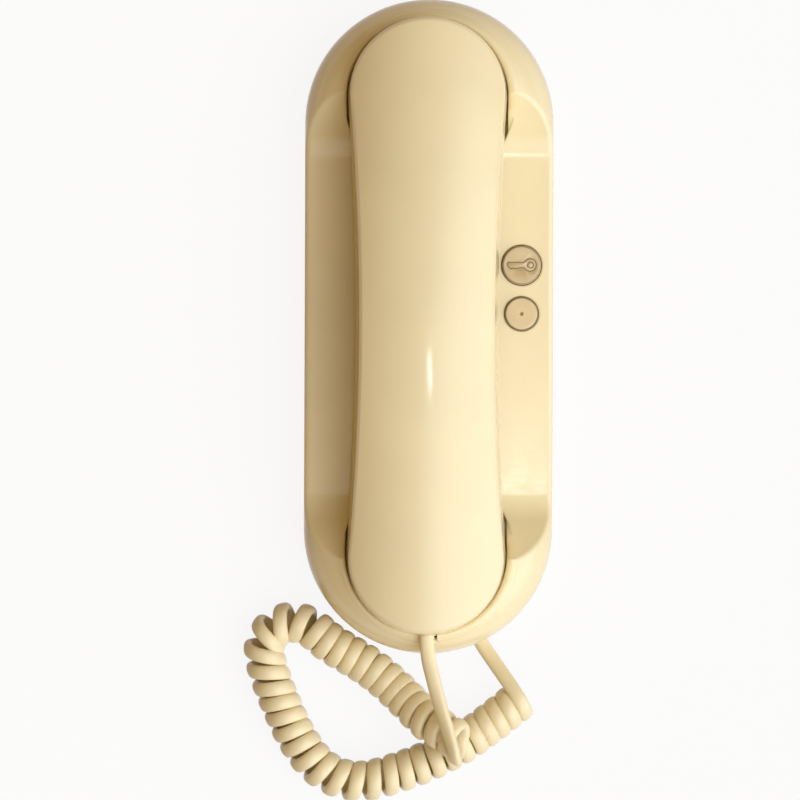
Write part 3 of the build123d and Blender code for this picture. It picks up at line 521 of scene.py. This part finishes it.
def dome_height(x, y):
    """Height of the cover's domed end above a point, with its slope towards the scoop."""
    outwards = max(hypot(x, max(y - dome_middle, 0)) - dome_flat, 0)
    dome = dome_top - dome_radius + sqrt(dome_radius**2 - outwards**2)
    return min(dome, slope_foot[1] + (y - slope_foot[0]) * slope)


def rim_line():
    """Points of the well's wall, up one side, round and down the other, with the direction outwards."""
    for count in range(rim_steps + 1):
        turn = -rim_ends + (pi + 2 * rim_ends) * count / rim_steps
        yield well_radius * cos(turn), well_middle + well_radius * sin(turn), cos(turn), sin(turn)


def rim_section(x, y, out_x, out_y):
    """Corners of the rim at a point of the wall: how far out of the well each is, and how high."""
    top = dome_height(x + out_x * rim_width, y + out_y * rim_width)
    further = dome_height(x + out_x * 2 * rim_width, y + out_y * 2 * rim_width)
    rise = (top - further) / rim_width
    depth = min(rim_depth, max(top - ledge_height, rim_edge))
    inside = handset_radius + rim_clearance + handset_middle * out_x
    if out_y < 0:
        inside /= abs(out_x)
    width = well_radius + rim_width - inside
    corners = [(2 * rim_width, further - rim_sink), (rim_width + rim_sink, top - rise * rim_sink)]
    for count in range(rim_round + 1):
        share = count / rim_round
        rest = 1 - share
        height = rest**2 * top + 2 * share * rest * (top + rise * width) + share**2 * (top - depth)
        corners.append((rim_width - width * (1 - rest**2), height))
    return corners + [(rim_width - width, top - depth - rim_skirt)]


def cradle_rim(name, mirror, gap=None):
    """The rim of the well at one end, with a gap left between two places across it."""
    mesh = bmesh.new()
    before = None
    ends = []
    for x, y, out_x, out_y in rim_line():
        if gap and y > well_middle and gap[0] < x < gap[1]:
            if before:
                ends.append(before)
            before = None
            continue
        row = [
            mesh.verts.new((x + out_x * far, mirror * (y + out_y * far), height))
            for far, height in rim_section(x, y, out_x, out_y)
        ]
        if before:
            for count in range(len(row)):
                mesh.faces.new((before[count - 1], before[count], row[count], row[count - 1]))
        else:
            ends.append(row)
        before = row
    ends.append(before)
    for row in ends:
        for edge in mesh.faces.new(row).edges:
            edge.smooth = False
    bmesh.ops.recalc_face_normals(mesh, faces=mesh.faces)
    for face in mesh.faces:
        face.smooth = True
    rim = made(name, mesh)
    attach(rim, "case")
    dress(rim_plastic, rim)


rim_plastic = moulded("rim_plastic", case_colour, case_roughness)
cradle_rim("cradle_rim_upper", mirror=1)
cradle_rim("cradle_rim_lower", mirror=-1, gap=notch_edges)


# The handset: two moulded halves in the cover's plastic, screwed together. The outer one is crowned
# and polished. The inner one, with the ear cup and the mouth cup, is a little duller.
handset_roughness = 0.13
handset_grain = 0.0001
grip_shade = 0.98
grip_roughness = 0.22
handset_plastic = moulded("handset_plastic", case_colour, handset_roughness, handset_grain)
wear(handset_plastic, "handset_back_shell")
grip_colour = shaded(case_colour, grip_shade)
wear(moulded("grip_plastic", grip_colour, grip_roughness), "handset_inner_shell")


# The buttons: two round caps in a darker plastic, loose in their holes in the cover. The larger one
# opens the door and has a key cut into its face; the smaller one has a dimple at its middle.
key_place = Vector((0.0309, 0.0205, 0.0))
key_radius = 0.00655
key_flange = 0.0011
key_edge = 0.0008
key_edge_degrees = range(0, 91, 10)
key_sides = 96
button_top = 0.0212
key_flange_top = 0.0175
key_flange_bottom = 0.0159
key_stem_radius = 0.0026
key_stem_bottom = 0.0129

# the engraved key: a bow with a hole, a shank and three teeth, measured from the cap's middle
engraving_radius = 0.00021
bow_middle = (0.0027, 0.0001)
bow_radius = 0.0021
bow_open = radians(26)
bow_steps = 24
hole_shift = 0.0002
hole_radius = 0.0010
shank = [
    (-0.0011, -0.0008), (-0.0015, -0.0013), (-0.0020, -0.0009), (-0.0025, -0.0013),
    (-0.0030, -0.0009), (-0.0035, -0.0013), (-0.0041, -0.0009), (-0.0047, -0.0003),
    (-0.0050, 0.0004), (-0.0046, 0.0010), (-0.0008, 0.0010),
]

# the plastic, and the painted shade in the key's cut and in the dimple: how dark, and how deep
key_colour = (0.60, 0.47, 0.26)
aux_colour = (0.68, 0.54, 0.30)
button_shades = (0.96, 1.04)
button_roughness = 0.26
button_cloud_scale = 120.0
button_cloud_roughness = 0.1
button_skin_scale = 900.0
painted_shade_share = 0.42
key_painted_shade = (0.00006, 0.00024)
aux_painted_shade = (0.00012, 0.0006)
middle_part = (0.3, 0.7)


def turned(name, middle, profile, sides):
    """A piece turned about a line that stands up at its middle.

    Each point of its profile is a distance from that line and a height.
    """
    mesh = bmesh.new()
    rings = []
    for radius, height in profile:
        if radius == 0:
            rings.append([mesh.verts.new((middle.x, middle.y, height))])
        else:
            rings.append([
                mesh.verts.new((
                    middle.x + radius * cos(2 * pi * count / sides),
                    middle.y + radius * sin(2 * pi * count / sides),
                    height,
                ))
                for count in range(sides)
            ])
    for ring, following in zip(rings, rings[1:]):
        for count in range(sides):
            after = (count + 1) % sides
            corners = [ring[count % len(ring)], ring[after % len(ring)]]
            corners += [following[after % len(following)], following[count % len(following)]]
            face = mesh.faces.new(list(dict.fromkeys(corners)))
            face.smooth = True
    bmesh.ops.recalc_face_normals(mesh, faces=mesh.faces)
    return made(name, mesh)


key_cap = turned(
    "key_cap",
    key_place,
    [(0, button_top)]
    + [
        (
            key_radius - key_edge * (1 - sin(radians(turn))),
            button_top - key_edge * (1 - cos(radians(turn))),
        )
        for turn in key_edge_degrees
    ]
    + [
        (key_radius, key_flange_top),
        (key_radius + key_flange, key_flange_top),
        (key_radius + key_flange, key_flange_bottom),
        (key_stem_radius, key_flange_bottom),
        (key_stem_radius, key_stem_bottom),
        (0, key_stem_bottom),
    ],
    key_sides,
)

# the key's outline and the bow's hole are cut with a round tool that runs along them
bow = []
for count in range(bow_steps + 1):
    turn = pi - bow_open - count * (2 * pi - 2 * bow_open) / bow_steps
    bow.append((bow_middle[0] + bow_radius * cos(turn), bow_middle[1] + bow_radius * sin(turn)))
hole = []
for count in range(bow_steps):
    turn = 2 * pi * count / bow_steps
    hole.append((
        bow_middle[0] + hole_shift + hole_radius * cos(turn),
        bow_middle[1] + hole_radius * sin(turn),
    ))
for outline in (bow + shank, hole):
    curve = bpy.data.curves.new("engraving", "CURVE")
    curve.dimensions = "3D"
    curve.bevel_depth = engraving_radius
    curve.bevel_resolution = 2
    spline = curve.splines.new("POLY")
    spline.points.add(len(outline) - 1)
    for point, (x, y) in zip(spline.points, outline):
        point.co = (key_place.x + x, key_place.y + y, button_top, 1)
    spline.use_cyclic_u = True
    cutter = bpy.data.objects.new("engraving", curve)
    tool = bpy.data.objects.new("engraving_tool", bpy.data.meshes.new_from_object(cutter))
    bpy.context.scene.collection.objects.link(tool)
    cut = key_cap.modifiers.new("engraving", "BOOLEAN")
    cut.operation = "DIFFERENCE"
    cut.object = tool
    cut.solver = "EXACT"
    bpy.context.view_layer.update()
    evaluated = key_cap.evaluated_get(bpy.context.evaluated_depsgraph_get())
    key_cap.data = bpy.data.meshes.new_from_object(evaluated)
    key_cap.modifiers.clear()
    bpy.data.objects.remove(tool)
    bpy.data.objects.remove(cutter)
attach(key_cap, "key")
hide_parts("key_button")


def apart(start):
    """The three coordinates of a point of the object."""
    spot = own_place(start)
    return [start.node("SeparateXYZ", {"Vector": spot}, output=axis) for axis in "XYZ"]


def button_plastic(name, colour, shade_depths):
    """Button plastic with painted shade, darker between two depths below its face."""
    material, start = new_finish(name)
    clouds = noise(start, button_cloud_scale, detail=3.0)
    clean = varied(clouds.between(*middle_part), colour, button_shades)
    height = apart(start)[2]
    # painted shade where the key's cut and the dimple sink below the face
    sunk = (height < button_top - shade_depths[0]) * (height > button_top - shade_depths[1])
    rough = button_roughness + clouds * button_cloud_roughness
    skin = bumped(start, strength=0.25, depth=0.0002, height=noise(start, button_skin_scale))
    shown(start, sunk.mixed(clean, shaded(colour, painted_shade_share)), rough, skin)
    return material


dress(button_plastic("key_plastic", key_colour, key_painted_shade), key_cap)
wear(button_plastic("aux_plastic", aux_colour, aux_painted_shade), "aux_button")


# Under the cover: the hook plunger, which the handset holds down, on its spring over its switch, and
# the screws that hold the case and the handset together. The plunger is moulded, the spring is wound
# from steel wire, and the screws are zinc-plated.
plunger_colour = (0.80, 0.70, 0.48)
spring_steel = (0.60, 0.60, 0.60)
zinc = (0.72, 0.72, 0.70)
lever_end = 0.0062
switch_case = ((0.03, 0.03, 0.032), 0.42, 0)
switch_lever = ((0.70, 0.68, 0.62), 0.25, 1)

# metal and the pieces of two parts: stains over the colour, and a skin of fine scratches
metal_shades = (0.86, 1.05)
metal_stain_scale = 220.0
metal_stain_roughness = 0.18
scratch_scale = 1800.0
part_shades = (0.86, 1.06)
part_stain_scale = 300.0
part_stain_roughness = 0.12
part_grain_scale = 900.0
small_strength = 0.2
small_depth = 0.0001


def plated(name, colour, roughness):
    """Bare or plated metal: a worn skin of fine scratches over faint stains."""
    material, start = new_finish(name)
    stains = noise(start, metal_stain_scale, detail=4.0, roughness=0.6)
    scratches = noise(start, scratch_scale, roughness=0.7)
    tone = varied(stains.between(*middle_part), colour, metal_shades)
    skin = bumped(start, small_strength, small_depth, scratches)
    shown(start, tone, roughness + stains * metal_stain_roughness, skin, metallic=1.0)
    return material


def two_part(name, split, first, second, grain=part_grain_scale):
    """Two finishes, told apart by where a point of the piece lies.

    Each is a colour, a roughness and a metallic. The second is where the split holds.
    """
    material, start = new_finish(name)
    mask = split(*apart(start))
    stains = noise(start, part_stain_scale, detail=4.0, roughness=0.6)
    worn = stains.between(*middle_part)
    tone = mask.mixed(varied(worn, first[0], part_shades), varied(worn, second[0], part_shades))
    rough = first[1] + mask * (second[1] - first[1]) + stains * part_stain_roughness
    metal = first[2] + mask * (second[2] - first[2])
    skin = bumped(start, small_strength, small_depth, noise(start, grain))
    shown(start, tone, rough, skin, metal)
    return material


wear(moulded("plunger_plastic", plunger_colour, roughness=0.30), "hook_plunger")
wear(plated("spring_wire", spring_steel, roughness=0.22), "hook_spring")
screw_plate = plated("zinc", zinc, roughness=0.26)
wear(screw_plate, "cover_screw", "board_screws", "clamp_screws", "handset_screws")
switch_body = two_part("switch_body", lambda x, y, z: x < lever_end, switch_case, switch_lever)
wear(switch_body, "hook_switch")


# The domes under the buttons: hollow silicone, stiff at the crown and glued to the board at the foot.
aux_place = Vector((0.0309, 0.0043, 0.0))
dome_foot = 0.0044
dome_crown = 0.0026
dome_skin = 0.0006
dome_sides = 48
board_face = 0.0076
foot_face = 0.0084
crown_floor = 0.0118
crown_face = 0.0126
wall_rings = 6
silicone_colour = (0.62, 0.62, 0.58)


def wall(first, last):
    """Points of a dome's profile at even steps from one to another."""
    return [
        (
            first[0] + (last[0] - first[0]) * count / wall_rings,
            first[1] + (last[1] - first[1]) * count / wall_rings,
        )
        for count in range(wall_rings + 1)
    ]


silicone = moulded("silicone", silicone_colour, roughness=0.45)
dome_profile = [
    (0, crown_face),
    *wall((dome_crown, crown_face), (dome_foot - dome_skin, foot_face)),
    (dome_foot, foot_face),
    (dome_foot, board_face),
    *wall((dome_foot - 2 * dome_skin, board_face), (dome_crown - dome_skin, crown_floor)),
    (0, crown_floor),
]
for name, spot, body in (("key_dome", key_place, "key"), ("aux_dome", aux_place, "aux")):
    dome = turned(name + "_rubber", spot, dome_profile, dome_sides)
    dress(silicone, dome)
    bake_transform(dome)
    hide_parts(name)


# The circuit board and what is soldered to it: green solder mask over copper, with tinned pads on a
# tenth of an inch, screw terminals, the call sounder, a speech transformer and two capacitors.
# Four screws hold it down on the back plate's posts.
mask_green = (0.035, 0.16, 0.06)
track_green = (0.06, 0.27, 0.09)
tin = (0.74, 0.74, 0.70)
board_roughness = 0.28
weave_scale = 1900.0
weave_roughness = 0.14
weave_height = 0.3
track_scale = 170.0
track_width = 0.055
pad_pitch = 0.00254
pad_size = 0.34
pad_patch_scale = 120.0
pad_patch_limit = 0.54
mouth_depth = -0.0305
nylon = ((0.09, 0.30, 0.14), 0.42, 0)
nylon_mouths = ((0.07, 0.24, 0.11), 0.55, 0)
brass = (0.78, 0.62, 0.32)
buzzer_step = 0.01412
buzzer_case = ((0.03, 0.03, 0.03), 0.45, 0)
buzzer_face = ((0.07, 0.07, 0.07), 0.3, 0)
core_middle = -0.025
core_half = 0.00201
copper_wire = ((0.50, 0.17, 0.05), 0.3, 0)
core_steel = ((0.20, 0.20, 0.21), 0.4, 1)
winding_grain_scale = 2600.0
sleeve_top = 0.01685
capacitor_sleeve = ((0.03, 0.04, 0.15), 0.25, 0)
capacitor_can = ((0.78, 0.78, 0.79), 0.3, 1)

laminate, start = new_finish("laminate")
spot = own_place(start)
grid = {"Vector": spot, "Scale": 1 / pad_pitch, "Randomness": 0.0}
cells = start.node("TexVoronoi", grid, output="Distance")
paths = {"Vector": spot, "Scale": track_scale}
tracks = start.node("TexVoronoi", paths, output="Distance", feature="DISTANCE_TO_EDGE")
track = tracks < track_width
pad = (cells < pad_size) * (noise(start, pad_patch_scale, detail=1.0) > pad_patch_limit)
weave = noise(start, weave_scale)
green = track.mixed(shaded(mask_green), shaded(track_green))
relief = bumped(start, strength=0.3, depth=0.00005, height=track + pad + weave * weave_height)
shown(start, pad.mixed(green, shaded(tin)), board_roughness + weave * weave_roughness, relief, pad)
wear(laminate, "circuit_board")
terminals = two_part("terminal_nylon", lambda x, y, z: y < mouth_depth, nylon, nylon_mouths)
wear(terminals, "terminal_block")
wear(plated("brass", brass, roughness=0.25), "terminal_screws")
sounder = two_part("buzzer_case", lambda x, y, z: z > buzzer_step, buzzer_case, buzzer_face)
wear(sounder, "buzzer")
winding = two_part(
    "winding",
    lambda x, y, z: (y - core_middle).size() < core_half,
    copper_wire,
    core_steel,
    winding_grain_scale,
)
wear(winding, "transformer")
sleeve = two_part("sleeve", lambda x, y, z: z > sleeve_top, capacitor_sleeve, capacitor_can)
wear(sleeve, "capacitors")


# Where the cord goes in: rubber grommets in the case and in the handset, the cord's own tail, a nylon
# saddle that takes the pull, and the three wires with their coloured sleeves.
grommet_shade = 0.86
clamp_colour = (0.80, 0.78, 0.70)
white_sleeve = ((0.70, 0.70, 0.66), 0.35, 0)
red_sleeve = ((0.55, 0.05, 0.035), 0.35, 0)
white_from, white_to = 0.0133, 0.0146
handset_white_from = -0.0007
grommet = moulded("grommet", shaded(case_colour, grommet_shade), roughness=0.5)
wear(grommet, "base_gland", "handset_gland")
wear(moulded("clamp_nylon", clamp_colour, roughness=0.4), "cord_clamp")
base_sleeves = two_part(
    "base_sleeves",
    lambda x, y, z: (x > white_from) * (x < white_to),
    red_sleeve,
    white_sleeve,
)
wear(base_sleeves, "base_wires")
handset_sleeves = two_part(
    "handset_sleeves",
    lambda x, y, z: x > handset_white_from,
    red_sleeve,
    white_sleeve,
)
wear(handset_sleeves, "handset_wires")

# the tails, which nobody sees, have the solids' own plain material, which is called cord_jacket too
wear(bpy.data.materials["cord_jacket"], "base_cord_tail", "handset_cord_tail")


# Inside the handset: a moving-coil receiver with its magnet on its back, on a foam ring, and a small
# microphone in a rubber holder. The two halves of the shell hold them in their cups.
foam_colour = (0.06, 0.06, 0.06)
holder_colour = (0.04, 0.04, 0.04)
magnet_foot = 0.02055
receiver_can = ((0.55, 0.55, 0.56), 0.28, 1)
receiver_magnet = ((0.06, 0.06, 0.065), 0.5, 0)
felt_top = 0.01345
microphone_can = ((0.80, 0.80, 0.82), 0.22, 1)
microphone_felt = ((0.03, 0.03, 0.03), 0.9, 0)
wear(moulded("foam", foam_colour, roughness=0.9), "receiver_gasket")
wear(moulded("holder_rubber", holder_colour, roughness=0.7), "microphone_holder")
receiver = two_part("receiver_can", lambda x, y, z: z > magnet_foot, receiver_can, receiver_magnet)
wear(receiver, "receiver")
microphone = two_part("drawn_can", lambda x, y, z: z < felt_top, microphone_can, microphone_felt)
wear(microphone, "microphone")


# The studio: a pale floor that the camera sees as white but for the object's soft shadow, a small
# lamp near the lens, and a dim warm room with a large soft light at the lower right.
floor_half = 3.0
floor_gap = 0.0002
floor_matt = (0.80, 0.79, 0.76, 1)
floor_warm = (0.24, 0.15, 0.06, 1)
floor_glow = 0.90
full_white = (1, 1, 1, 1)
light_direction = Vector((0.64, -0.32, 0.68)).normalized()
light_edge = (0.62, 0.93)
light_colour = (2.60, 2.67, 2.92, 1)
room_colour = (0.31, 0.205, 0.07, 1)
lamp_place = Vector((0.065, -0.12, 1.5))
lamp_target = Vector((0, 0, 0.02))
lamp_size = (0.05, 0.10)
lamp_power = 0.45

mesh = bmesh.new()
bmesh.ops.create_grid(mesh, x_segments=1, y_segments=1, size=floor_half)
floor = made("floor", mesh)
floor.location = (0, 0, solid_low.z - floor_gap)

# the camera and the object's shine meet a pale paper, and only the light that it throws back is dim
paper, start = new_finish("floor_paper")
seen = start.node("LightPath", {}, output="Is Camera Ray")
mirrored = start.node("LightPath", {}, output="Is Glossy Ray")
through = start.node("LightPath", {}, output="Is Transmission Ray")
matt = start.node("BsdfDiffuse", {"Color": floor_matt})
dim = start.node("BsdfDiffuse", {"Color": floor_warm})
white = start.node("Emission", {"Color": full_white, "Strength": 1.0})
pale = start.node("MixShader", {0: floor_glow, 1: matt, 2: white})
start.node("MixShader", {0: seen + mirrored + through, 1: dim, 2: pale}).link_to("OutputMaterial")
dress(paper, floor)

lamp_data = bpy.data.lights.new("small_lamp", "AREA")
lamp_data.shape = "RECTANGLE"
lamp_data.size, lamp_data.size_y = lamp_size
lamp_data.energy = lamp_power
small_lamp = bpy.data.objects.new("small_lamp", lamp_data)
small_lamp.location = lamp_place
small_lamp.rotation_euler = (lamp_target - lamp_place).to_track_quat("-Z", "Y").to_euler()
bpy.context.scene.collection.objects.link(small_lamp)

room = bpy.data.worlds.new("room")
room.use_nodes = True
room.node_tree.nodes.clear()
start = Shade(room.node_tree)
seen = start.node("LightPath", {}, output="Is Camera Ray")
looking = start.node("TexCoord", {}, output="Generated")
facing = {0: looking, 1: light_direction}
towards = start.node("VectorMath", facing, output="Value", operation="DOT_PRODUCT")
glow = towards.between(*light_edge).mixed(room_colour, light_colour)
soft_light = start.node("Background", {"Color": glow})
bright = start.node("Background", {"Color": full_white, "Strength": 1.0})
start.node("MixShader", {0: seen, 1: soft_light, 2: bright}).link_to("OutputWorld")
bpy.context.scene.world = room
bpy.context.scene.view_settings.view_transform = "Standard"
